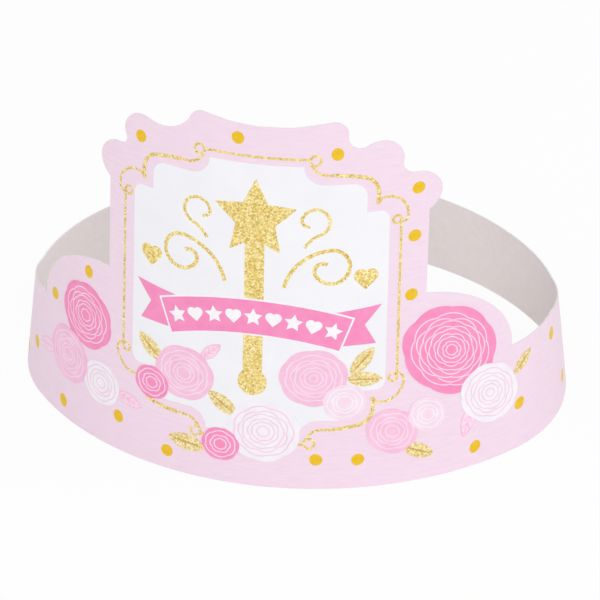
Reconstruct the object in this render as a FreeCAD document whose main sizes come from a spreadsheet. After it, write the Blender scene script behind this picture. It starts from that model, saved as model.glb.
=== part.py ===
import FreeCAD, Part
import math
import os
import Sketcher

# A party crown cut from one sheet of printed card and rolled into a loop.
# A tall lobed plaque stands at the front, with a scallop and a notch on each
# side of it, and a plain band runs round the back, where the ends are lapped.
# Origin on the ground under the middle of the loop, front towards -Y, up +Z.

# Driving sizes in millimetres and degrees
SIZES = {
    # Plan of the loop, measured outside along the bottom edge
    "half_width": 80.0,
    "front_reach": 62.0,
    "back_reach": 71.0,
    # Turn from the middle of the front or back to where the roll tightens
    "blend_turn": 52.0,
    # The card leans inwards all round by this angle
    "lean": 5.8,
    "card": 0.4,
    # Half the turn over which the two ends lie on each other at the back
    "lap_turn": 8.0,
    # Height of the band beside the notches and round the back
    "band_height": 33.0,
    "back_height": 26.5,
    # Where its top edge starts and ends its fall, behind the widest line
    "left_fall_start": -24.0,
    "left_fall_end": 4.0,
    "right_fall_start": -3.0,
    "right_fall_end": 24.0,
    # Scallops beside the plaque, centred level with the band's top edge
    "notch_reach": 68.7,
    "left_scallop_radius": 23.4,
    "right_scallop_radius": 25.9,
    # Plaque, and how far its middle stands to the right of the loop's
    "plaque_half_width": 45.8,
    "plaque_shift": 0.9,
    # Its round parts, with insets measured from its side line
    "ear_height": 90.0,
    "ear_radius": 6.5,
    "ear_inset": 3.4,
    "lobe_rise": 11.8,
    "lobe_radius": 5.8,
    "left_lobe_inset": 10.6,
    "right_lobe_inset": 12.6,
    "left_valley_radius": 10.0,
    "right_valley_radius": 3.5,
    "crest_rise": 8.6,
    "crest_radius": 3.8,
    "left_crest_inset": 28.9,
    "right_crest_inset": 25.2,
    "brow_dip": 2.1,
    # Card left over round the outline, which the cuts take away
    "trim": 3.0,
}

# Heights that several sketches share
LOBE_LEVEL = "sizes.ear_height + sizes.lobe_rise"
CREST_LEVEL = LOBE_LEVEL + " + sizes.crest_rise"
TOP_LEVEL = CREST_LEVEL + " + sizes.crest_radius"
ROLL_LEVEL = TOP_LEVEL + " + sizes.trim"
CUT_LEVEL = TOP_LEVEL + " + 2 * sizes.trim"

ORIGIN = (-1, 1)
ACROSS_AXIS = -1
UPRIGHT_AXIS = -2
START = 1
END = 2
CENTRE = 3
QUARTER = math.pi / 2

doc = FreeCAD.newDocument("paper_crown")
sheet = doc.addObject("Spreadsheet::Sheet", "sizes")
for row, (alias, number) in enumerate(SIZES.items(), start=1):
    sheet.set("A%d" % row, alias)
    sheet.set("B%d" % row, str(number))
    sheet.setAlias("B%d" % row, alias)
doc.recompute()


def value(formula):
    """What a formula of the sheet's sizes comes to now."""
    return float(sheet.evalExpression(formula))


def new_sketch(body, name, role):
    plane = next(item for item in body.Origin.OriginFeatures if item.Role == role)
    sketch = body.newObject("Sketcher::SketchObject", name)
    sketch.AttachmentSupport = [(plane, "")]
    sketch.MapMode = "FlatFace"
    return sketch


def add_line(sketch, start, end):
    first = FreeCAD.Vector(start[0], start[1], 0)
    last = FreeCAD.Vector(end[0], end[1], 0)
    return sketch.addGeometry(Part.LineSegment(first, last), False)


def add_arc(sketch, side, x, y, radius, start, end):
    """An arc drawn for the right-hand side, or mirrored to the left."""
    if side < 0:
        start, end = math.pi - end, math.pi - start
    circle = Part.Circle(FreeCAD.Vector(side * x, y, 0), FreeCAD.Vector(0, 0, 1), radius)
    return sketch.addGeometry(Part.ArcOfCircle(circle, start, end), False)


def arc_ends(side):
    """Which end of a right-hand arc comes first, and which one when mirrored."""
    return (START, END) if side > 0 else (END, START)


def constrain(sketch, kind, *where):
    sketch.addConstraint(Sketcher.Constraint(kind, *where))


def join(sketch, *ends):
    constrain(sketch, "Coincident", *ends)


def touch(sketch, *ends):
    constrain(sketch, "Tangent", *ends)


def lie_on(sketch, point, curve):
    constrain(sketch, "PointOnObject", point[0], point[1], curve)


def measure(sketch, kind, where, formula):
    """A dimension that follows a formula of the sheet's sizes."""
    unit = "deg" if kind == "Angle" else "mm"
    now = math.radians(value(formula)) if kind == "Angle" else value(formula)
    number = sketch.addConstraint(Sketcher.Constraint(kind, *where, now))
    sketch.setExpression("Constraints[%d]" % number, "(%s) * 1 %s" % (formula, unit))


def across(sketch, side, point, formula):
    """How far a point lies from the upright axis, on the right or the left."""
    measure(sketch, "DistanceX", ORIGIN + point if side > 0 else point + ORIGIN, formula)


def above(sketch, point, formula):
    measure(sketch, "DistanceY", ORIGIN + point, formula)


def guide_point(sketch, curve, formula):
    """Where a curve crosses the upright axis, held at a height."""
    place = FreeCAD.Vector(0, value(formula), 0)
    point = (sketch.addGeometry(Part.Point(place), True), START)
    lie_on(sketch, point, UPRIGHT_AXIS)
    lie_on(sketch, point, curve)
    above(sketch, point, formula)


def oval_radii(width, reach, turn):
    """The flat and the tight radius of a quarter that is this wide and deep."""
    spare = math.sin(turn) + math.cos(turn) - 1
    flat = (width * math.cos(turn) - reach * (1 - math.sin(turn))) / spare
    tight = (reach * math.sin(turn) - width * (1 - math.cos(turn))) / spare
    return flat, tight


def half_loop(sketch, side, inset, lap, front_end):
    """Four tangent arcs from the front round one side to the lapped end.

    The left half lies half a card further out and back, so that it meets the
    right half at the front and lies one card outside it at the back.
    """
    out = "0" if side > 0 else "sizes.card / 2"
    width = "sizes.half_width - (%s) + %s" % (inset, out)
    front_reach = "sizes.front_reach - (%s)" % inset
    back_reach = "sizes.back_reach - (%s) + 2 * %s" % (inset, out)
    back_turn = "sizes.blend_turn %s (%s)" % ("+" if side > 0 else "-", lap)
    turn = math.radians(value("sizes.blend_turn"))
    wide = value(width)
    middle = value(out)
    back_y = value(back_reach)
    front_y = -value(front_reach)
    front_flat, front_tight = oval_radii(wide, middle - front_y, turn)
    back_flat, back_tight = oval_radii(wide, back_y - middle, turn)
    bend = turn - QUARTER
    lapped = math.radians(value(back_turn)) - turn + QUARTER
    front = add_arc(sketch, side, 0, front_y + front_flat, front_flat, -QUARTER, bend)
    front_side = add_arc(sketch, side, wide - front_tight, middle, front_tight, bend, 0)
    back_side = add_arc(sketch, side, wide - back_tight, middle, back_tight, 0, -bend)
    back = add_arc(sketch, side, 0, back_y - back_flat, back_flat, -bend, lapped)
    first, last = arc_ends(side)
    touch(sketch, front, last, front_side, first)
    join(sketch, front_side, last, back_side, first)
    touch(sketch, back_side, last, back, first)
    lie_on(sketch, (front, CENTRE), UPRIGHT_AXIS)
    lie_on(sketch, (back, CENTRE), UPRIGHT_AXIS)
    for point in ((front_side, CENTRE), (back_side, CENTRE), (front_side, last)):
        if side > 0:
            lie_on(sketch, point, ACROSS_AXIS)
        else:
            above(sketch, point, out)
    across(sketch, side, (front_side, last), width)
    if front_end:
        join(sketch, front, first, *front_end)
    else:
        lie_on(sketch, (front, first), UPRIGHT_AXIS)
        measure(sketch, "DistanceY", (front, first) + ORIGIN, front_reach)
    measure(sketch, "Angle", (front,), "sizes.blend_turn")
    measure(sketch, "Angle", (back_side,), "90 - sizes.blend_turn")
    measure(sketch, "Angle", (back,), back_turn)
    guide_point(sketch, back, back_reach)
    return (front, first), (back, last)


def loop_sketch(body, name, inner, at_top):
    """One face of the rolled card, seen from above, at the ground or the top."""
    inset = "sizes.card" if inner else "0"
    if at_top:
        inset += " + (%s) * tan(sizes.lean * 1 deg)" % ROLL_LEVEL
    # The outer end stops on the right of the middle and the inner on the left
    lap = "sizes.lap_turn" if inner else "-sizes.lap_turn"
    sketch = new_sketch(body, name, "XY_Plane")
    front_end, right_end = half_loop(sketch, 1, inset, lap, None)
    front_end, left_end = half_loop(sketch, -1, inset, lap, front_end)
    step = add_line(sketch, sketch.getPoint(*right_end), sketch.getPoint(*left_end))
    join(sketch, step, START, *right_end)
    join(sketch, step, END, *left_end)
    if at_top:
        sketch.setExpression("AttachmentOffset.Base.z", "(%s) * 1 mm" % ROLL_LEVEL)
    return sketch


def side_line(side):
    """How far the plaque's straight side stands from the middle of the loop."""
    return "sizes.plaque_half_width %s sizes.plaque_shift" % ("+" if side > 0 else "-")


def handed(side, name):
    """A size that differs from the right-hand side to the left."""
    return "sizes.%s_%s" % ("right" if side > 0 else "left", name)


def fan_and_flank(sketch, side, lid):
    """The band's top edge, the scallop and the plaque's straight side."""
    fan_radius = handed(side, "scallop_radius")
    fan_centre = "sizes.notch_reach - " + fan_radius
    band = value("sizes.band_height")
    margin = value("sizes.half_width + sizes.trim")
    top = value(CUT_LEVEL)
    plaque = value(side_line(side))
    fan_x = value(fan_centre)
    radius = value(fan_radius)
    foot = math.acos((plaque - fan_x) / radius)
    ear_foot = math.acos(value("sizes.ear_inset / sizes.ear_radius"))
    hip = value("sizes.ear_height") - value("sizes.ear_radius") * math.sin(ear_foot)
    first, last = arc_ends(side)
    edge = add_line(sketch, (side * margin, top), (side * margin, band))
    ledge = add_line(sketch, (side * margin, band), (side * (fan_x + radius), band))
    fan = add_arc(sketch, side, fan_x, band, radius, 0, foot)
    flank = add_line(sketch, (side * plaque, band + radius * math.sin(foot)), (side * plaque, hip))
    join(sketch, lid, last, edge, START)
    join(sketch, edge, END, ledge, START)
    join(sketch, ledge, END, fan, first)
    join(sketch, fan, last, flank, START)
    constrain(sketch, "Vertical", edge)
    constrain(sketch, "Vertical", flank)
    constrain(sketch, "Horizontal", ledge)
    across(sketch, side, (edge, START), "sizes.half_width + sizes.trim")
    across(sketch, side, (fan, CENTRE), fan_centre)
    across(sketch, side, (flank, START), side_line(side))
    above(sketch, (fan, CENTRE), "sizes.band_height")
    above(sketch, (fan, first), "sizes.band_height")
    measure(sketch, "Radius", (fan,), fan_radius)
    return flank


def hollow_between(low, low_radius, high, high_radius, radius):
    """Centre of the hollow arc that rests on two round parts, the high one inwards."""
    span = math.hypot(low[0] - high[0], low[1] - high[1])
    along = ((radius + high_radius) ** 2 - (radius + low_radius) ** 2 + span ** 2) / 2 / span
    off = math.sqrt((radius + high_radius) ** 2 - along ** 2)
    step = ((low[0] - high[0]) / span, (low[1] - high[1]) / span)
    return high[0] + along * step[0] - off * step[1], high[1] + along * step[1] + off * step[0]


def ear_lobe_and_crest(sketch, side, flank, brow, brow_centre):
    """Three round parts in a climbing row, with hollow arcs between them."""
    lobe_inset = handed(side, "lobe_inset")
    crest_inset = handed(side, "crest_inset")
    hollow = handed(side, "valley_radius")
    ear_x = value(side_line(side) + " - sizes.ear_inset")
    ear_y = value("sizes.ear_height")
    ear_radius = value("sizes.ear_radius")
    lobe_x = value("%s - %s" % (side_line(side), lobe_inset))
    lobe_y = value(LOBE_LEVEL)
    lobe_radius = value("sizes.lobe_radius")
    crest_x = value("%s - %s" % (side_line(side), crest_inset))
    crest_y = value(CREST_LEVEL)
    crest_radius = value("sizes.crest_radius")
    # The neck touches the top of the ear
    drop = lobe_y - ear_y - ear_radius
    neck_radius = ((ear_x - lobe_x) ** 2 + drop ** 2 - lobe_radius ** 2) / 2 / (lobe_radius + drop)
    neck_y = ear_y + ear_radius + neck_radius
    valley_x, valley_y = hollow_between((lobe_x, lobe_y), lobe_radius,
                                        (crest_x, crest_y), crest_radius, value(hollow))
    to_neck = math.atan2(neck_y - lobe_y, ear_x - lobe_x)
    to_valley = math.atan2(valley_y - lobe_y, valley_x - lobe_x)
    crest_start = math.atan2(valley_y - crest_y, valley_x - crest_x)
    to_brow = math.atan2(brow_centre[1] - crest_y, side * brow_centre[0] - crest_x)
    foot = -math.acos(value("sizes.ear_inset / sizes.ear_radius"))
    ear = add_arc(sketch, side, ear_x, ear_y, ear_radius, foot, QUARTER)
    neck = add_arc(sketch, side, ear_x, neck_y, neck_radius, to_neck + math.pi, 3 * QUARTER)
    lobe = add_arc(sketch, side, lobe_x, lobe_y, lobe_radius, to_neck, to_valley)
    valley = add_arc(sketch, side, valley_x, valley_y, value(hollow),
                     crest_start + math.pi, to_valley + math.pi)
    crest = add_arc(sketch, side, crest_x, crest_y, crest_radius, crest_start, to_brow)
    first, last = arc_ends(side)
    join(sketch, flank, END, ear, first)
    touch(sketch, ear, last, neck, last)
    touch(sketch, neck, first, lobe, first)
    touch(sketch, lobe, last, valley, last)
    touch(sketch, valley, first, crest, first)
    touch(sketch, crest, last, brow, last)
    constrain(sketch, "Vertical", ear, CENTRE, neck, CENTRE)
    measure(sketch, "Radius", (valley,), hollow)
    for arc, name, inset, level in ((ear, "ear", "sizes.ear_inset", "sizes.ear_height"),
                                    (lobe, "lobe", lobe_inset, LOBE_LEVEL),
                                    (crest, "crest", crest_inset, CREST_LEVEL)):
        across(sketch, side, (arc, CENTRE), "%s - %s" % (side_line(side), inset))
        above(sketch, (arc, CENTRE), level)
        measure(sketch, "Radius", (arc,), "sizes.%s_radius" % name)


def front_cut_sketch(body):
    """What is cut away over the front half: all above the plaque's outline."""
    sketch = new_sketch(body, "front_cut_outline", "XZ_Plane")
    margin = value("sizes.half_width + sizes.trim")
    top = value(CUT_LEVEL)
    crest_y = value(CREST_LEVEL)
    crest_radius = value("sizes.crest_radius")
    dip = value("sizes.brow_dip")
    right_x, left_x = [side * value("%s - %s" % (side_line(side), handed(side, "crest_inset")))
                       for side in (1, -1)]
    # The brow is one shallow arc that hangs between the two crests
    middle = (right_x + left_x) / 2
    reach = (right_x - left_x) / 2
    low = crest_radius - dip
    brow_radius = (reach ** 2 + low ** 2 - crest_radius ** 2) / 2 / dip
    brow_y = crest_y + low + brow_radius
    swing = math.atan2(reach, brow_y - crest_y)
    brow = add_arc(sketch, 1, middle, brow_y, brow_radius, -QUARTER - swing, -QUARTER + swing)
    lowest = (sketch.addGeometry(Part.Point(FreeCAD.Vector(middle, crest_y + low, 0)), True), START)
    lie_on(sketch, lowest, brow)
    constrain(sketch, "Vertical", *lowest, brow, CENTRE)
    above(sketch, lowest, TOP_LEVEL + " - sizes.brow_dip")
    lid = add_line(sketch, (-margin, top), (margin, top))
    constrain(sketch, "Horizontal", lid)
    above(sketch, (lid, START), CUT_LEVEL)
    for side in (1, -1):
        flank = fan_and_flank(sketch, side, lid)
        ear_lobe_and_crest(sketch, side, flank, brow, (middle, brow_y))
    return sketch


def side_cut_sketch(body, side):
    """What is cut away over one side, where the band falls to its low rear."""
    sketch = new_sketch(body, "%s_cut_outline" % ("right" if side > 0 else "left"), "YZ_Plane")
    far = "sizes.back_reach + sizes.trim"
    start = handed(side, "fall_start")
    end = handed(side, "fall_end")
    band = value("sizes.band_height")
    low = value("sizes.back_height")
    top = value(CUT_LEVEL)
    corners = [(value(start), band), (value(end), low), (value(far), low),
               (value(far), top), (value(start), top)]
    lines = []
    for corner, following in zip(corners, corners[1:] + corners[:1]):
        lines.append(add_line(sketch, corner, following))
    for line, following in zip(lines, lines[1:] + lines[:1]):
        join(sketch, line, END, following, START)
    fall, ledge, rear, lid, front = lines
    for line in (ledge, lid):
        constrain(sketch, "Horizontal", line)
    for line in (rear, front):
        constrain(sketch, "Vertical", line)
    above(sketch, (fall, START), "sizes.band_height")
    above(sketch, (fall, END), "sizes.back_height")
    above(sketch, (lid, START), CUT_LEVEL)
    across(sketch, 1, (rear, START), far)
    for end_of_fall, place in ((START, start), (END, end)):
        measure(sketch, "DistanceX", (fall, end_of_fall, rear, START), "%s - %s" % (far, place))
    return sketch


def add_loft(body, kind, name, ground, top):
    loft = body.newObject(kind, name)
    loft.Profile = (ground, [""])
    loft.Sections = [(top, [""])]
    loft.Ruled = True
    doc.recompute()
    return loft


def add_cut(body, name, sketch, backwards):
    cut = body.newObject("PartDesign::Pocket", name)
    cut.Profile = (sketch, [""])
    cut.Type = "ThroughAll"
    cut.Reversed = backwards
    doc.recompute()
    return cut


def crown_body():
    """The crown: one sheet of card rolled into a loop, lapped and cut."""
    body = doc.addObject("PartDesign::Body", "crown_band")
    body.Label = "crown_band"
    body.setExpression("Placement.Base.x", "sizes.card / 4 * 1 mm")
    body.setExpression("Placement.Base.y",
                       "(sizes.front_reach - sizes.back_reach - sizes.card) / 2 * 1 mm")
    add_loft(body, "PartDesign::AdditiveLoft", "rolled_outside",
             loop_sketch(body, "outside_at_ground", False, False),
             loop_sketch(body, "outside_at_top", False, True))
    steps = [add_loft(body, "PartDesign::SubtractiveLoft", "rolled_inside",
                      loop_sketch(body, "inside_at_ground", True, False),
                      loop_sketch(body, "inside_at_top", True, True))]
    steps.append(add_cut(body, "front_cut", front_cut_sketch(body), True))
    steps.append(add_cut(body, "left_cut", side_cut_sketch(body, -1), False))
    steps.append(add_cut(body, "right_cut", side_cut_sketch(body, 1), True))
    body.Tip = steps[-1]
    doc.recompute()
    for before, after in zip(steps, steps[1:]):
        if not after.Shape.Volume < before.Shape.Volume:
            raise RuntimeError("%s took nothing away" % after.Label)
    return body


sub_parts = [crown_body()]

for item in doc.Objects:
    if "Invalid" in item.State or "Error" in item.State:
        raise RuntimeError("%s failed: %s" % (item.Name, item.State))
for piece in sub_parts:
    if piece.Shape.isNull() or not piece.Shape.isValid() or len(piece.Shape.Solids) != 1:
        raise RuntimeError("%s is not one sound solid" % piece.Label)

os.makedirs("parts", exist_ok=True)
for piece in sub_parts:
    piece.Shape.exportStep(os.path.join("parts", piece.Label + ".step"))
    print(piece.Label, "volume", round(piece.Shape.Volume, 1), "mm3")
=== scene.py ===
import math
import random

import bmesh
import bpy
from mathutils import Matrix, Vector


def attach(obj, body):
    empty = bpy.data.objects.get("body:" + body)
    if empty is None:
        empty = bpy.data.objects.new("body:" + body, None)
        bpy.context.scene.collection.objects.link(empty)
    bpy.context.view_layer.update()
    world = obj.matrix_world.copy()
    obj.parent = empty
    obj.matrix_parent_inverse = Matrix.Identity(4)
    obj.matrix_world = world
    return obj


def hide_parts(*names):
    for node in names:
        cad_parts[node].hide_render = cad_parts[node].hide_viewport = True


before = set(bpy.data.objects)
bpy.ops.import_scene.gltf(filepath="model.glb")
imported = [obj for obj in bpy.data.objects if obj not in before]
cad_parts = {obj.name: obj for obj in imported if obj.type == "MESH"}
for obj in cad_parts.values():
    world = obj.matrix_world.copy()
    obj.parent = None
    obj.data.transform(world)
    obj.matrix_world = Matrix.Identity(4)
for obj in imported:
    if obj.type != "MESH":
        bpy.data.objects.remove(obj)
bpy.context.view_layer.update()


# The crown: one die-cut sheet of satin card, 0.4 mm thick, printed outside and bare
# inside. It is rolled into an oval loop that leans inwards, and its two ends are
# glued one over the other at the back.

MM = 0.001
CARD = 0.4
HALF_WIDTH = 80.0
FRONT_REACH = 62.0
BACK_REACH = 71.0
LEAN = math.tan(math.radians(5.8))
BLEND = math.radians(52)
LAP = math.radians(8)
QUARTER = math.pi / 2
# The middle of the loop's box is the origin
LOOP_SHIFT = (CARD / 4, (FRONT_REACH - BACK_REACH - CARD) / 2)

BAND_HEIGHT = 33.0
BACK_HEIGHT = 26.5
PLAQUE_HALF_WIDTH = 45.8
PLAQUE_SHIFT = 0.9
NOTCH_REACH = 68.7
EAR_INSET = 3.4
EAR_HEIGHT = 90.0
EAR_RADIUS = 6.5
LOBE_HEIGHT = 101.8
LOBE_RADIUS = 5.8
CREST_HEIGHT = 110.4
CREST_RADIUS = 3.8
BROW_DIP = 2.1
# Left and right differ a little, as cut. The band falls to its low rear from before
# the loop's widest line to behind it, scallop and valley are radii, and lobe and
# crest lie this far in from the plaque's side.
LEFT = {"side": -1, "fall": (-24.0, 4.0), "scallop": 23.4,
        "lobe": 10.6, "valley": 10.0, "crest": 28.9}
RIGHT = {"side": 1, "fall": (-3.0, 24.0), "scallop": 25.9,
         "lobe": 12.6, "valley": 3.5, "crest": 25.2}

# How finely lines and sheets are divided, and how near two points become one
ARC_STEP = math.radians(9)
FALL_STEPS = 8
HALVINGS = 40
SLICE_WIDTH = 1.6
SLICE_HEIGHT = 8.0
SLICE_SNAP = 0.0005
SAME_POINT = 0.01
SHARP_EDGE = math.radians(35)
# Millimetres of sheet to one unit of its texture
SHEET_UNIT = 100


def oval_radii(width, reach):
    spare = math.sin(BLEND) + math.cos(BLEND) - 1
    flat = (width * math.cos(BLEND) - reach * (1 - math.sin(BLEND))) / spare
    tight = (reach * math.sin(BLEND) - width * (1 - math.cos(BLEND))) / spare
    return flat, tight


def half_loop(side):
    """Four arcs seen from above, from the middle of the front to the lapped end."""
    out = CARD / 2 if side < 0 else 0
    width = HALF_WIDTH + out
    front_flat, front_tight = oval_radii(width, FRONT_REACH + out)
    back_flat, back_tight = oval_radii(width, BACK_REACH + out)
    return [((0, front_flat - FRONT_REACH), front_flat, BLEND),
            ((width - front_tight, out), front_tight, QUARTER - BLEND),
            ((width - back_tight, out), back_tight, QUARTER - BLEND),
            ((0, BACK_REACH + 2 * out - back_flat), back_flat, BLEND + LAP)]


HALVES = {-1: half_loop(-1), 1: half_loop(1)}


def roll(walk, depth, height):
    """Where a spot lies once the flat sheet is rolled, in millimetres.

    walk is how far it is round the loop from the middle of the front, at its own
    height, and depth is how far it lies inside the card's outer face.
    """
    side = -1 if walk < 0 else 1
    rest = abs(walk)
    turned = 0
    for centre, radius, turn in HALVES[side]:
        level = radius - height * LEAN
        if rest <= level * turn:
            break
        rest -= level * turn
        turned += turn
    else:
        rest += level * turn
        turned -= turn
    angle = turned + rest / level
    across = side * (centre[0] + (level - depth) * math.sin(angle))
    away = centre[1] - (level - depth) * math.cos(angle)
    return Vector((across + LOOP_SHIFT[0], away + LOOP_SHIFT[1], height))


def half_walk(side, height):
    return sum((radius - height * LEAN) * turn for centre, radius, turn in HALVES[side])


def walk_across(side, height, across):
    """How far round a spot is that is seen this far across from the front."""
    near, far = 0, half_walk(side, height) / 2
    for halving in range(HALVINGS):
        middle = (near + far) / 2
        seen = side * (roll(side * middle, 0, height).x - LOOP_SHIFT[0])
        near, far = (middle, far) if seen < across else (near, middle)
    return near


def walk_behind(side, height, away):
    """How far round a spot is that is seen this far back from the side."""
    near, far = 0, half_walk(side, height)
    for halving in range(HALVINGS):
        middle = (near + far) / 2
        seen = roll(side * middle, 0, height).y - LOOP_SHIFT[1]
        near, far = (middle, far) if seen < away else (near, middle)
    return near


def swing(bm, vert, centre, angle):
    """Carries a line on from its last point, round a centre, anticlockwise if positive."""
    steps = max(2, round(abs(angle) / ARC_STEP))
    arc = bmesh.ops.spin(bm, geom=[vert], cent=(centre[0], 0, centre[1]), axis=(0, -1, 0),
                         angle=angle, steps=steps, use_duplicate=False)
    return [item for item in arc["geom_last"] if isinstance(item, bmesh.types.BMVert)][0]


def line_to(bm, vert, across, height):
    grown = bmesh.ops.extrude_vert_indiv(bm, verts=[vert])["verts"][0]
    grown.co = Vector((across, 0, height))
    return grown


def hollow_between(low, low_radius, high, high_radius, radius):
    """Centre of the hollow arc that rests on two round parts, the high one inwards."""
    span = math.dist(low, high)
    along = ((radius + high_radius) ** 2 - (radius + low_radius) ** 2 + span ** 2) / 2 / span
    off = math.sqrt((radius + high_radius) ** 2 - along ** 2)
    step = ((low[0] - high[0]) / span, (low[1] - high[1]) / span)
    return high[0] + along * step[0] - off * step[1], high[1] + along * step[1] + off * step[0]


def half_outline(bm, cut, brow_centre):
    """Half of the die-cut edge, seen from the front as if it were the right half."""
    side = cut["side"]
    side_line = PLAQUE_HALF_WIDTH + side * PLAQUE_SHIFT
    fan = (NOTCH_REACH - cut["scallop"], BAND_HEIGHT)
    ear = (side_line - EAR_INSET, EAR_HEIGHT)
    lobe = (side_line - cut["lobe"], LOBE_HEIGHT)
    crest = (side_line - cut["crest"], CREST_HEIGHT)
    brow = (side * brow_centre[0], brow_centre[1])
    drop = lobe[1] - ear[1] - EAR_RADIUS
    neck_radius = (ear[0] - lobe[0]) ** 2 + drop ** 2 - LOBE_RADIUS ** 2
    neck_radius /= 2 * (LOBE_RADIUS + drop)
    neck = (ear[0], ear[1] + EAR_RADIUS + neck_radius)
    valley = hollow_between(lobe, LOBE_RADIUS, crest, CREST_RADIUS, cut["valley"])
    fan_foot = math.acos((side_line - fan[0]) / cut["scallop"])
    ear_foot = math.acos(EAR_INSET / EAR_RADIUS)
    to_neck = math.atan2(neck[1] - lobe[1], neck[0] - lobe[0])
    to_valley = math.atan2(valley[1] - lobe[1], valley[0] - lobe[0])
    from_valley = math.atan2(valley[1] - crest[1], valley[0] - crest[0])
    to_brow = math.atan2(brow[1] - crest[1], brow[0] - crest[0])
    notch = bm.verts.new((NOTCH_REACH, 0, BAND_HEIGHT))
    tip = swing(bm, notch, fan, fan_foot)
    tip = line_to(bm, tip, side_line, ear[1] - EAR_RADIUS * math.sin(ear_foot))
    tip = swing(bm, tip, ear, ear_foot + QUARTER)
    tip = swing(bm, tip, neck, to_neck - QUARTER)
    tip = swing(bm, tip, lobe, to_valley - to_neck)
    tip = swing(bm, tip, valley, from_valley - to_valley)
    tip = swing(bm, tip, crest, to_brow - from_valley)
    brow_radius = math.dist((tip.co.x, tip.co.z), brow)
    here = math.atan2(tip.co.x - brow[0], brow[1] - tip.co.z)
    swing(bm, tip, brow, math.asin(-brow[0] / brow_radius) - here)
    # What was drawn as seen from the front is laid out along the flat sheet
    for vert in bm.verts:
        if not vert.tag:
            vert.tag = True
            vert.co.x = side * walk_across(side, vert.co.z, vert.co.x)
    # The band runs on from the notch, falls to its low rear and ends at the lap
    tip = notch
    start, end = cut["fall"]
    for step in range(FALL_STEPS + 1):
        height = BAND_HEIGHT + (BACK_HEIGHT - BAND_HEIGHT) * step / FALL_STEPS
        away = start + (end - start) * step / FALL_STEPS
        tip = line_to(bm, tip, side * walk_behind(side, height, away), height)
    for height in (BACK_HEIGHT, 0):
        tip = line_to(bm, tip, side * half_walk(side, height), height)
    line_to(bm, tip, 0, 0)
    for vert in bm.verts:
        vert.tag = True


def slice_up(bm, spacing, axis):
    """Cuts a flat shape at even spaces, so that it can follow the roll."""
    normal = Vector((1, 0, 0)) if axis == 0 else Vector((0, 0, 1))
    low = min(vert.co[axis] for vert in bm.verts)
    high = max(vert.co[axis] for vert in bm.verts)
    for step in range(math.ceil(low / spacing), math.floor(high / spacing) + 1):
        place = step * spacing
        if low + SAME_POINT < place < high - SAME_POINT:
            bmesh.ops.bisect_plane(bm, geom=bm.verts[:] + bm.edges[:] + bm.faces[:],
                                   dist=SLICE_SNAP, plane_co=normal * place, plane_no=normal)


def rolled_piece(name, bm, top, under, finishes):
    """Gives a flat shape its thickness, rolls it onto the loop and makes it an object.

    top and under are how deep its two sides lie inside the card's outer face.
    """
    slice_up(bm, SLICE_WIDTH, 0)
    slice_up(bm, SLICE_HEIGHT, 2)
    for vert in bm.verts:
        vert.co.y = top
    thick = bmesh.ops.extrude_face_region(bm, geom=bm.faces[:])
    for item in thick["geom"]:
        if isinstance(item, bmesh.types.BMVert):
            item.co.y = under
    bmesh.ops.recalc_face_normals(bm, faces=bm.faces[:])
    flat = bm.loops.layers.uv.new("sheet")
    for face in bm.faces:
        for loop in face.loops:
            loop[flat].uv = (loop.vert.co.x / SHEET_UNIT, loop.vert.co.z / SHEET_UNIT)
    # The card's own faces are printed outside, bare inside and raw where cut
    if name == "crown_card":
        for face in bm.faces:
            outwards = -face.normal.y
            face.material_index = 0 if outwards > 0.5 else 1 if outwards < -0.5 else 2
    for vert in bm.verts:
        vert.co = roll(*vert.co) * MM
    mesh = bpy.data.meshes.new(name)
    bm.to_mesh(mesh)
    bm.free()
    mesh.shade_smooth()
    mesh.set_sharp_from_angle(angle=SHARP_EDGE)
    for finish in finishes:
        mesh.materials.append(finish)
    piece = bpy.data.objects.new(name, mesh)
    bpy.context.scene.collection.objects.link(piece)
    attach(piece, "root")
    return piece


def shade(red, green, blue):
    """A screen colour from 0 to 255 as Blender's linear colour."""
    parts = [(part / 255 + 0.055) / 1.055 for part in (red, green, blue)]
    return tuple(part ** 2.4 for part in parts) + (1,)


def new_finish(name, roughness):
    finish = bpy.data.materials.new(name)
    finish.use_nodes = True
    nodes = finish.node_tree.nodes
    surface = nodes["Principled BSDF"]
    surface.inputs["Roughness"].default_value = roughness
    surface.inputs["Specular IOR Level"].default_value = 0.35
    sheet = nodes.new("ShaderNodeUVMap")
    sheet.uv_map = "sheet"
    return finish, surface, sheet


def add_noise(finish, sheet, stretch, scale, detail):
    """Noise on the flat sheet, drawn out along or across it."""
    nodes, links = finish.node_tree.nodes, finish.node_tree.links
    place = nodes.new("ShaderNodeMapping")
    place.inputs["Scale"].default_value = stretch
    links.new(sheet.outputs["UV"], place.inputs["Vector"])
    noise = nodes.new("ShaderNodeTexNoise")
    noise.inputs["Scale"].default_value = scale
    noise.inputs["Detail"].default_value = detail
    links.new(place.outputs["Vector"], noise.inputs["Vector"])
    return noise.outputs["Fac"]


def add_ramp(finish, source, stops):
    nodes, links = finish.node_tree.nodes, finish.node_tree.links
    ramp = nodes.new("ShaderNodeValToRGB")
    ramp.color_ramp.elements[0].position, ramp.color_ramp.elements[0].color = stops[0]
    ramp.color_ramp.elements[1].position, ramp.color_ramp.elements[1].color = stops[-1]
    for position, colour in stops[1:-1]:
        ramp.color_ramp.elements.new(position).color = colour
    links.new(source, ramp.inputs["Fac"])
    return ramp.outputs["Color"]


def add_grain(finish, surface, source, height, strength):
    nodes, links = finish.node_tree.nodes, finish.node_tree.links
    bump = nodes.new("ShaderNodeBump")
    bump.inputs["Distance"].default_value = height * MM
    bump.inputs["Strength"].default_value = strength
    links.new(source, bump.inputs["Height"])
    links.new(bump.outputs["Normal"], surface.inputs["Normal"])


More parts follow.
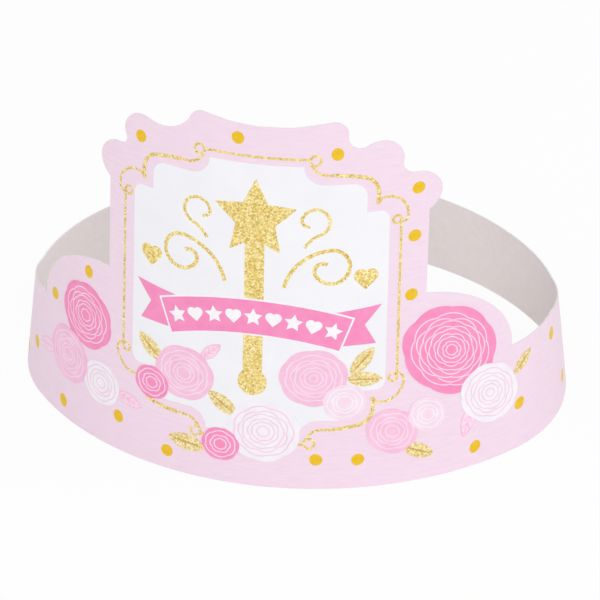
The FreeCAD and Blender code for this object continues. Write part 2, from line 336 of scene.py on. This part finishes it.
def printed_field(name, light, deep, stretch=(1.0, 1.0, 1.0), scale=14.0, roughness=0.42):
    """Ink on satin card, a little uneven, over the card's fine grain."""
    finish, surface, sheet = new_finish(name, roughness)
    wash = add_noise(finish, sheet, stretch, scale, 4.0)
    colour = add_ramp(finish, wash, [(0.34, deep), (0.66, light)])
    finish.node_tree.links.new(colour, surface.inputs["Base Color"])
    grain = add_noise(finish, sheet, (1.0, 1.0, 1.0), 260.0, 2.0)
    add_grain(finish, surface, grain, 0.03, 0.35)
    return finish


pink_wash = printed_field("pink_wash", shade(242, 220, 234), shade(239, 215, 231),
                          stretch=(1.0, 6.0, 1.0), scale=18.0)
bare_inside = printed_field("bare_inside", shade(243, 236, 235), shade(240, 232, 231),
                            scale=40.0, roughness=0.7)
cut_edge = printed_field("cut_edge", shade(244, 240, 242), shade(236, 230, 233),
                         scale=60.0, roughness=0.8)

card = bmesh.new()
crests = [cut["side"] * (PLAQUE_HALF_WIDTH + cut["side"] * PLAQUE_SHIFT - cut["crest"])
          for cut in (LEFT, RIGHT)]
brow_half = (crests[1] - crests[0]) / 2
brow_low = CREST_RADIUS - BROW_DIP
brow_radius = (brow_half ** 2 + brow_low ** 2 - CREST_RADIUS ** 2) / 2 / BROW_DIP
brow_centre = ((crests[1] + crests[0]) / 2, CREST_HEIGHT + brow_low + brow_radius)
for cut in (RIGHT, LEFT):
    half_outline(card, cut, brow_centre)
bmesh.ops.remove_doubles(card, verts=card.verts[:], dist=SAME_POINT)
bmesh.ops.contextual_create(card, geom=card.edges[:])
crown_card = rolled_piece("crown_card", card, 0.0, CARD, [pink_wash, bare_inside, cut_edge])
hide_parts("crown_band")


# The white label: a field of plain white ink in the middle of the plaque, with the
# stepped round corners of an old-fashioned bracket frame.

INK = 0.03
MIRROR_SNAP = 0.001
LABEL_MIDDLE = 58.6


def mirrored(bm, axis, height=0.0):
    """Adds the mirror image of what is drawn, to the left or below a height."""
    bmesh.ops.mirror(bm, geom=bm.verts[:] + bm.edges[:] + bm.faces[:], axis=axis,
                     matrix=Matrix.Translation((0, 0, -height)), merge_dist=MIRROR_SNAP)
    bmesh.ops.remove_doubles(bm, verts=bm.verts[:], dist=MIRROR_SNAP)


def printed_shape(name, bm, layer, finishes):
    """A film of ink or foil on the card, each layer a little proud of the last."""
    return rolled_piece(name, bm, -INK * layer, CARD / 4, finishes)


label_white = printed_field("label_white", shade(243, 243, 247), shade(239, 239, 244), scale=7.0)
label = bmesh.new()
tip = label.verts.new((38.0, 0, LABEL_MIDDLE))
tip = line_to(label, tip, 38.0, 83.6)
tip = swing(label, tip, (35.2, 83.6), QUARTER)
tip = line_to(label, tip, 31.4, 86.4)
tip = line_to(label, tip, 31.4, 91.3)
tip = swing(label, tip, (27.4, 91.3), QUARTER)
tip = line_to(label, tip, 19.0, 95.3)
tip = swing(label, tip, (19.0, 100.8), -QUARTER)
line_to(label, tip, 0.0, 100.8)
mirrored(label, "X")
mirrored(label, "Z", LABEL_MIDDLE)
bmesh.ops.contextual_create(label, geom=label.edges[:])
printed_shape("white_label", label, 1, [label_white])


# The gold scroll: a thin line of glitter ink round the label. Straight runs end in
# small curls, and a thicker sweep with a curl follows each stepped corner.

SCROLL_WIDTH = 0.7
FLAKE = 0.45
BEND_STEP = math.radians(12)
BEND_LENGTH = 1.5


def stroke(bm, place, heading, width, moves):
    """Draws a line of even width. A move is a length, or a radius and an angle."""
    heading = math.radians(heading)
    off = Vector((-math.sin(heading), 0, math.cos(heading))) * width / 2
    middle = Vector((place[0], 0, place[1]))
    edge = bm.edges.new((bm.verts.new(middle + off), bm.verts.new(middle - off)))
    for move in moves:
        along = Vector((math.cos(heading), 0, math.sin(heading)))
        if len(move) == 1:
            grown = bmesh.ops.extrude_edge_only(bm, edges=[edge])["geom"]
            ends = [item for item in grown if isinstance(item, bmesh.types.BMVert)]
            bmesh.ops.translate(bm, vec=along * move[0], verts=ends)
            middle = middle + along * move[0]
        else:
            radius, angle = move[0], math.radians(move[1])
            left = Vector((-along.z, 0, along.x))
            centre = middle + left * math.copysign(radius, angle)
            steps = max(2, round(abs(angle) / BEND_STEP), round(abs(angle) * radius / BEND_LENGTH))
            arc = bmesh.ops.spin(bm, geom=[edge] + list(edge.verts), cent=centre, axis=(0, -1, 0),
                                 angle=angle, steps=steps, use_duplicate=False)
            grown = arc["geom_last"]
            middle = centre + Matrix.Rotation(-angle, 3, "Y") @ (middle - centre)
            heading += angle
        edge = [item for item in grown if isinstance(item, bmesh.types.BMEdge)][0]


def glitter_ink(name, stops):
    """Fine flakes, each its own tone of gold."""
    finish, surface, sheet = new_finish(name, 0.38)
    nodes, links = finish.node_tree.nodes, finish.node_tree.links
    flakes = nodes.new("ShaderNodeTexVoronoi")
    flakes.inputs["Scale"].default_value = SHEET_UNIT / FLAKE
    links.new(sheet.outputs["UV"], flakes.inputs["Vector"])
    tone = nodes.new("ShaderNodeSeparateColor")
    links.new(flakes.outputs["Color"], tone.inputs["Color"])
    colour = add_ramp(finish, tone.outputs["Red"], stops)
    links.new(colour, surface.inputs["Base Color"])
    add_grain(finish, surface, tone.outputs["Green"], 0.04, 0.4)
    return finish


gold_glitter = glitter_ink("gold_glitter", [(0.0, shade(196, 160, 74)),
                                            (0.25, shade(226, 196, 104)),
                                            (0.7, shade(241, 219, 140)),
                                            (1.0, shade(254, 244, 196))])
scroll = bmesh.new()
stroke(scroll, (41.4, LABEL_MIDDLE), 90, SCROLL_WIDTH, [(24.5,), (1.2, 330)])
stroke(scroll, (34.5, 88.9), 60, SCROLL_WIDTH, [(3.2, -60), (6.2, -95), (1.7, -110)])
stroke(scroll, (34.4, 88.6), 84, SCROLL_WIDTH * 1.5, [(2.6,), (5.6, 87), (4.0,), (14.0, 14)])
stroke(scroll, (23.1, 98.4), 185, SCROLL_WIDTH, [(2.2,), (5.4, -82), (1.5, -310)])
stroke(scroll, (0.0, 103.0), 0, SCROLL_WIDTH, [(15.0,)])
mirrored(scroll, "X")
mirrored(scroll, "Z", LABEL_MIDDLE)
printed_shape("gold_scroll", scroll, 2, [gold_glitter])


# The gold spots: round dabs of plain gold ink, scattered along the margins of the
# plaque and all round the band.

SPOT_RADIUS = 1.85
SPOT_SPACE = 12.5


def round_shape(bm, place, radius, segments, outline, ink=0):
    """A filled shape whose edge follows an outline, given as reach against angle."""
    middle = Vector((place[0], 0, place[1]))
    upright = Matrix.Translation(middle) @ Matrix.Rotation(QUARTER, 4, "X")
    made = bmesh.ops.create_circle(bm, cap_ends=True, radius=radius, segments=segments,
                                   matrix=upright)
    face = made["verts"][0].link_faces[0]
    face.material_index = ink
    for vert in face.verts:
        arm = vert.co - middle
        vert.co = middle + arm * outline(math.atan2(arm.z, arm.x))
    return face


gold_ink = printed_field("gold_ink", shade(238, 198, 32), shade(231, 185, 12),
                         scale=70.0, roughness=0.4)
hand = random.Random(7)
spots = bmesh.new()
front_spots = [(-36.0, 101.0), (-5.4, 108.2), (22.7, 104.6), (46.3, 91.7), (45.5, 77.2),
               (45.0, 59.1), (-56.2, 51.0), (-73.6, 35.9), (-67.4, 4.9), (-43.0, 10.7),
               (-25.7, 5.7), (18.7, 9.4), (30.7, 9.0), (66.8, 5.8), (82.9, 13.8), (100.9, 26.8)]
right_spots = [(112.1 + SPOT_SPACE * step, (7.4, 16.6, 21.4)[step % 3]) for step in range(8)]
left_spots = [(-85.6 - SPOT_SPACE * step, (14.2, 6.2, 20.4)[step % 3]) for step in range(13)]
for place in front_spots + right_spots + left_spots:
    lean = hand.uniform(0, math.pi)
    squash = hand.uniform(0.02, 0.07)
    round_shape(spots, place, SPOT_RADIUS, 28,
                lambda angle: 1 + squash * math.cos(2 * (angle - lean)))
printed_shape("gold_spots", spots, 1, [gold_ink])


# The party wand: a glitter star on a straight glitter stick with a round knob, up
# the middle of the label, and a flourish of gold line and a heart on each side.

STICK_WIDTH = 5.6
STAR_RADIUS = 12.4
KNOB_RADIUS = 4.2
HEART_RADIUS = 3.4
# Half the width of the square that a heart is made from, its foot being 1 below
HEART_SPREAD = 0.85


def star_outline(points, waist):
    """A star with straight sides. The reach is least half-way between two points."""
    corner = math.pi / points
    slope = math.atan2(math.sin(corner) * waist, 1 - math.cos(corner) * waist)

    def reach(angle):
        from_point = corner - abs((angle - QUARTER) % (2 * corner) - corner)
        return math.sin(slope) / math.sin(slope + from_point)
    return reach


def heart_outline(angle):
    """Two half circles on the upper sides of a square that stands on its corner."""
    across, rise = abs(math.cos(angle)), math.sin(angle)
    if rise * HEART_SPREAD < (HEART_SPREAD - 1) * across:
        return 1 / (across - rise)
    centre = (HEART_SPREAD / 2, 1.5 * HEART_SPREAD - 1)
    lean = centre[0] * across + centre[1] * rise
    spare = HEART_SPREAD ** 2 / 2 - centre[0] ** 2 - centre[1] ** 2
    return lean + math.sqrt(lean ** 2 + spare)


wand = bmesh.new()
stroke(wand, (0.0, 33.0), 90, STICK_WIDTH, [(45.5,)])
printed_shape("wand_stick", wand, 2, [gold_glitter])
star = bmesh.new()
round_shape(star, (0.0, 84.0), STAR_RADIUS, 60, star_outline(5, 0.48))
round_shape(star, (0.0, 33.2), KNOB_RADIUS, 40, lambda angle: 1)
printed_shape("wand_star", star, 3, [gold_glitter])
flourish = bmesh.new()
stroke(flourish, (8.5, 63.5), 78, 1.1, [(15.0, -70), (5.2, -250), (2.4, -150)])
stroke(flourish, (14.0, 76.0), 62, 0.9, [(9.0, -40), (4.0, 230), (1.9, 120)])
round_shape(flourish, (31.6, 66.0), HEART_RADIUS, 48, heart_outline)
mirrored(flourish, "X")
printed_shape("gold_flourish", flourish, 2, [gold_glitter])


# The ribbon: a plain pink banner printed across the wand, with a white rim, forked
# tails behind its ends and a row of small white hearts and stars.

RIBBON_BEND = 75.0
RIBBON_SWEEP = 41.0
RIBBON_HEIGHT = 10.4
RIM = 0.55
TRIM_TURN = 4.4
TRIM_HEART = 2.3
TRIM_STAR = 2.8


def corners(bm, points):
    bm.faces.new([bm.verts.new((across, 0, height)) for across, height in points])


ribbon_pink = printed_field("ribbon_pink", shade(247, 148, 194), shade(244, 138, 188),
                            scale=30.0)
paper_white = printed_field("paper_white", shade(250, 247, 250), shade(245, 240, 245),
                            scale=40.0)
ribbon_end = math.radians(RIBBON_SWEEP / 2)
ribbon_start = (-RIBBON_BEND * math.sin(ribbon_end), 48.8)
ribbon_middle = ribbon_start[1] - RIBBON_BEND * math.cos(ribbon_end)
tails = bmesh.new()
corners(tails, [(22.0, 55.6), (36.4, 57.6), (31.6, 51.6), (35.0, 45.6), (22.0, 45.2)])
mirrored(tails, "X")
printed_shape("ribbon_tails", tails, 3, [ribbon_pink])
banner_rim = bmesh.new()
rim_sweep = RIBBON_SWEEP + 2 * math.degrees(RIM / RIBBON_BEND)
rim_end = math.radians(rim_sweep / 2)
rim_start = (-RIBBON_BEND * math.sin(rim_end), ribbon_middle + RIBBON_BEND * math.cos(rim_end))
stroke(banner_rim, rim_start, rim_sweep / 2, RIBBON_HEIGHT + 2 * RIM,
       [(RIBBON_BEND, -rim_sweep)])
printed_shape("ribbon_rim", banner_rim, 5, [paper_white])
banner = bmesh.new()
stroke(banner, ribbon_start, RIBBON_SWEEP / 2, RIBBON_HEIGHT, [(RIBBON_BEND, -RIBBON_SWEEP)])
printed_shape("ribbon_banner", banner, 6, [ribbon_pink])
trim = bmesh.new()
for step in range(-4, 5):
    turn = math.radians(step * TRIM_TURN)
    place = (RIBBON_BEND * math.sin(turn), ribbon_middle + RIBBON_BEND * math.cos(turn))
    if step % 2:
        face = round_shape(trim, place, TRIM_HEART, 48, heart_outline)
    else:
        face = round_shape(trim, place, TRIM_STAR, 60, star_outline(5, 0.5))
    bmesh.ops.rotate(trim, verts=face.verts, cent=(place[0], 0, place[1]),
                     matrix=Matrix.Rotation(turn, 3, "Y"))
printed_shape("ribbon_trim", trim, 7, [paper_white])


# The leaves: pointed leaves of glitter ink beside the blossoms, each with a darker
# middle rib, and a few pale ones drawn in pink line with slanting veins.

LEAF_BORDER = 0.65
VEIN_WIDTH = 0.28
VEIN_TURN = 38


def leaf_outline(angle, plump=0.42):
    """Two arcs that meet in a point at each end."""
    radius = (1 + plump ** 2) / (2 * plump)
    sunk = radius - plump
    return math.sqrt(radius ** 2 - (sunk * math.cos(angle)) ** 2) - sunk * abs(math.sin(angle))


def leaf(bm, place, length, turn, slimness=1.0):
    turned = Matrix.Rotation(-math.radians(turn), 4, "Y")
    face = round_shape(bm, (0.0, 0.0), length / 2, 40, leaf_outline)
    for vert in face.verts:
        vert.co.z *= slimness
        vert.co = turned @ vert.co + Vector((place[0], 0, place[1]))


mid_pink = printed_field("mid_pink", shade(247, 200, 224), shade(243, 188, 216), scale=24.0)
line_pink = printed_field("line_pink", shade(246, 208, 228), shade(243, 198, 222), scale=24.0)
line_pale = printed_field("line_pale", shade(251, 222, 237), shade(249, 213, 231), scale=24.0)
pale_glitter = glitter_ink("pale_glitter", [(0.0, shade(208, 180, 104)),
                                            (0.5, shade(236, 214, 146)),
                                            (1.0, shade(252, 240, 196))])
rib_gold = glitter_ink("rib_gold", [(0.0, shade(188, 152, 70)), (1.0, shade(218, 186, 102))])
line_leaves = bmesh.new()
leaf_fills = bmesh.new()
veins = bmesh.new()
for place, length, turn in (((-77.0, 18.0), 10.0, 190), ((-39.0, 17.5), 9.5, -12),
                            ((64.5, 15.5), 11.5, 250), ((-12.5, 40.5), 8.5, 42)):
    leaf(line_leaves, place, length, turn)
    leaf(leaf_fills, place, length - 2 * LEAF_BORDER, turn)
    along = (math.cos(math.radians(turn)), math.sin(math.radians(turn)))
    foot = (place[0] - along[0] * length / 2, place[1] - along[1] * length / 2)
    stroke(veins, foot, turn, VEIN_WIDTH, [(length * 0.9,)])
    for share in (-0.28, -0.08, 0.12):
        for side in (-1, 1):
            foot = (place[0] + along[0] * length * share, place[1] + along[1] * length * share)
            stroke(veins, foot, turn + side * VEIN_TURN, VEIN_WIDTH,
                   [(length * (0.24 - abs(share) * 0.2),)])
printed_shape("line_leaves", line_leaves, 3, [mid_pink])
printed_shape("leaf_fills", leaf_fills, 4, [line_pale])
printed_shape("leaf_veins", veins, 5, [mid_pink])
leaves = bmesh.new()
ribs = bmesh.new()
for place, length, turn in (((31.2, 40.2), 10.5, 50), ((32.0, 34.5), 10.5, -4),
                            ((-31.5, 37.0), 11.0, 140), ((-8.5, 25.0), 11.0, 145),
                            ((-19.4, 10.2), 12.0, 174), ((48.5, 9.5), 10.5, -24),
                            ((84.0, 26.5), 9.0, 35)):
    leaf(leaves, place, length, turn)
    leaf(ribs, place, length * 0.82, turn, 0.14)
printed_shape("gold_leaves", leaves, 5, [pale_glitter])
printed_shape("leaf_ribs", ribs, 6, [rib_gold])


# The blossoms: round flowers printed in three pinks and in white, each with rings of
# thin line that wave like petals. They stand in groups on the scallops, along the
# foot of the label and on the band.

# A blossom is a little wider than it is high
WIDEN = 1.05
LINE_WIDTH = 0.36
RING_SPACE = 1.1


def petals(count, turn, wave):
    return lambda angle: 1 - wave + wave * abs(math.cos(count * (angle - turn) / 2)) ** 0.7


def ring_inside(face, bm, ink):
    """Insets a face by nothing, to be reshaped, and gives what is inside an ink."""
    bmesh.ops.inset_region(bm, faces=[face], thickness=0.0, use_boundary=True)
    face.material_index = ink


def blossom(bm, place, radius, count, turn, slope, inks):
    """From the rim inwards: a plain border, then turns of thin line and petal."""
    petal_ink, line_ink = inks
    turn = math.radians(turn)
    face = round_shape(bm, (0.0, 0.0), 1.0, 12 * count, lambda angle: 1, petal_ink)
    rays = [(vert.co.copy(), math.atan2(vert.co.z, vert.co.x)) for vert in face.verts]

    def draw_ring(reach, outline):
        for vert, (ray, angle) in zip(face.verts, rays):
            across = ray.x * reach * outline(angle) * WIDEN
            rise = ray.z * reach * outline(angle) / WIDEN
            vert.co = (place[0] + across, 0, place[1] + rise + slope * across)

    draw_ring(radius, petals(count, turn, 0.05))
    reach = radius * 0.84
    ring = 0
    while reach > 1.2:
        turn += math.pi / count
        outline = petals(count, turn, (0.07, 0.10)[ring % 2])
        for width, ink in ((LINE_WIDTH, line_ink), (RING_SPACE * (1.0, 0.7)[ring % 2], petal_ink)):
            ring_inside(face, bm, ink)
            draw_ring(max(reach, 0.4), outline)
            reach -= width
        ring += 1


hot_pink = printed_field("hot_pink", shade(247, 150, 195), shade(244, 138, 187), scale=24.0)
pale_pink = printed_field("pale_pink", shade(247, 226, 239), shade(244, 216, 232), scale=24.0)
petal_white = printed_field("petal_white", shade(245, 242, 247), shade(240, 235, 243), scale=24.0)
flower_inks = [hot_pink, mid_pink, pale_pink, petal_white, line_pink, line_pale]
# Each blossom's petal and line, by their places in that list
HOT = (0, 5)
MID = (1, 2)
PALE = (2, 3)
WHITE = (3, 4)
lower = bmesh.new()
for place, radius, count, turn, slope, inks in (
        ((58.0, 39.0), 14.6, 7, 12, -0.25, HOT), ((40.5, 17.0), 7.4, 6, 40, -0.14, MID),
        ((-57.0, 37.0), 10.4, 7, 30, 0, HOT), ((-50.0, 18.5), 7.0, 6, 10, 0, WHITE),
        ((-20.5, 32.0), 8.8, 6, 0, 0, MID), ((17.5, 35.4), 9.4, 7, 18, 0, MID),
        ((3.5, 17.8), 10.2, 7, 24, 0, WHITE)):
    blossom(lower, place, radius, count, turn, slope, inks)
printed_shape("blossoms_lower", lower, 7, flower_inks)
upper = bmesh.new()
for place, radius, count, turn, slope, inks in (
        ((71.5, 21.5), 9.8, 7, 5, -0.2, WHITE), ((51.0, 20.5), 5.6, 6, 20, -0.15, PALE),
        ((-65.0, 21.0), 8.8, 6, 0, 0, MID), ((-31.0, 26.0), 5.4, 6, 15, 0, HOT),
        ((26.5, 27.5), 6.0, 6, 40, 0, PALE), ((-9.0, 12.0), 5.4, 6, 60, 0, HOT)):
    blossom(upper, place, radius, count, turn, slope, inks)
printed_shape("blossoms_upper", upper, 8, flower_inks)


# The studio: a plain pale floor, a soft key light in front, a side light, a weak fill
# light and an even sky. The camera stands where the picture was taken from, far off
# with a long lens.

FLOOR_REACH = 3.0
FLOOR_TONE = 0.93
FLOOR_WHITE = 0.92
SKY_STRENGTH = 0.62
LIGHT_AIM = Vector((0, 0, 0.05))
CAMERA_TURN = math.radians(12.12)
CAMERA_RISE = math.radians(32.2)
CAMERA_DISTANCE = 1.6
CAMERA_AIM = Vector((0.0014, -0.0047, 0.02454))
PIXELS_OF_FOCUS = 5463.9
PICTURE_SIDE = 600


def stage_floor():
    floor_mesh = bmesh.new()
    bmesh.ops.create_grid(floor_mesh, x_segments=1, y_segments=1, size=FLOOR_REACH)
    mesh = bpy.data.meshes.new("floor")
    floor_mesh.to_mesh(mesh)
    floor_mesh.free()
    floor = bpy.data.objects.new("floor", mesh)
    bpy.context.scene.collection.objects.link(floor)
    paper = bpy.data.materials.new("floor_paper")
    paper.use_nodes = True
    nodes, links = paper.node_tree.nodes, paper.node_tree.links
    surface = nodes["Principled BSDF"]
    surface.inputs["Base Color"].default_value = (FLOOR_TONE, FLOOR_TONE, FLOOR_TONE, 1)
    surface.inputs["Roughness"].default_value = 0.9
    surface.inputs["Specular IOR Level"].default_value = 0.0
    glow = nodes.new("ShaderNodeEmission")
    path = nodes.new("ShaderNodeLightPath")
    seen = nodes.new("ShaderNodeMath")
    seen.operation = "MAXIMUM"
    shown = nodes.new("ShaderNodeMath")
    shown.operation = "MAXIMUM"
    share = nodes.new("ShaderNodeMath")
    share.operation = "MULTIPLY"
    share.inputs[1].default_value = FLOOR_WHITE
    mix = nodes.new("ShaderNodeMixShader")
    links.new(path.outputs["Is Camera Ray"], seen.inputs[0])
    links.new(path.outputs["Is Glossy Ray"], seen.inputs[1])
    links.new(seen.outputs["Value"], shown.inputs[0])
    links.new(path.outputs["Is Transmission Ray"], shown.inputs[1])
    links.new(shown.outputs["Value"], share.inputs[0])
    links.new(share.outputs["Value"], mix.inputs["Fac"])
    links.new(surface.outputs["BSDF"], mix.inputs[1])
    links.new(glow.outputs["Emission"], mix.inputs[2])
    links.new(mix.outputs["Shader"], nodes["Material Output"].inputs["Surface"])
    mesh.materials.append(paper)


def soft_light(name, place, size, power):
    lamp = bpy.data.lights.new(name, "AREA")
    lamp.shape = "SQUARE"
    lamp.size = size
    lamp.energy = power
    light = bpy.data.objects.new(name, lamp)
    light.location = place
    light.rotation_euler = (LIGHT_AIM - Vector(place)).to_track_quat("-Z", "Y").to_euler()
    bpy.context.scene.collection.objects.link(light)


stage_floor()
soft_light("key_light", (0.7, -2.0, 1.3), 1.2, 16)
soft_light("side_light", (1.9, 0.1, 1.3), 1.2, 10)
soft_light("fill_light", (-1.6, -1.1, 1.5), 1.4, 7)

sky = bpy.data.worlds.new("studio")
sky.use_nodes = True
bpy.context.scene.world = sky
sky_nodes, sky_links = sky.node_tree.nodes, sky.node_tree.links
sky_light = sky_nodes["Background"]
sky_light.inputs["Color"].default_value = (1, 1, 1, 1)
sky_light.inputs["Strength"].default_value = SKY_STRENGTH
sky_seen = sky_nodes.new("ShaderNodeBackground")
sky_seen.inputs["Color"].default_value = (1, 1, 1, 1)
sky_path = sky_nodes.new("ShaderNodeLightPath")
sky_mix = sky_nodes.new("ShaderNodeMixShader")
sky_links.new(sky_path.outputs["Is Camera Ray"], sky_mix.inputs["Fac"])
sky_links.new(sky_light.outputs["Background"], sky_mix.inputs[1])
sky_links.new(sky_seen.outputs["Background"], sky_mix.inputs[2])
sky_links.new(sky_mix.outputs["Shader"], sky_nodes["World Output"].inputs["Surface"])

lens = bpy.data.cameras.new("camera")
lens.sensor_width = 36
lens.lens = PIXELS_OF_FOCUS / PICTURE_SIDE * lens.sensor_width
lens.clip_end = 20
camera = bpy.data.objects.new("camera", lens)
towards = Vector((math.sin(CAMERA_TURN) * math.cos(CAMERA_RISE),
                  -math.cos(CAMERA_TURN) * math.cos(CAMERA_RISE), math.sin(CAMERA_RISE)))
camera.location = CAMERA_AIM + CAMERA_DISTANCE * towards
camera.rotation_euler = (-towards).to_track_quat("-Z", "Y").to_euler()
bpy.context.scene.collection.objects.link(camera)
bpy.context.scene.camera = camera
bpy.context.scene.view_settings.view_transform = "Standard"
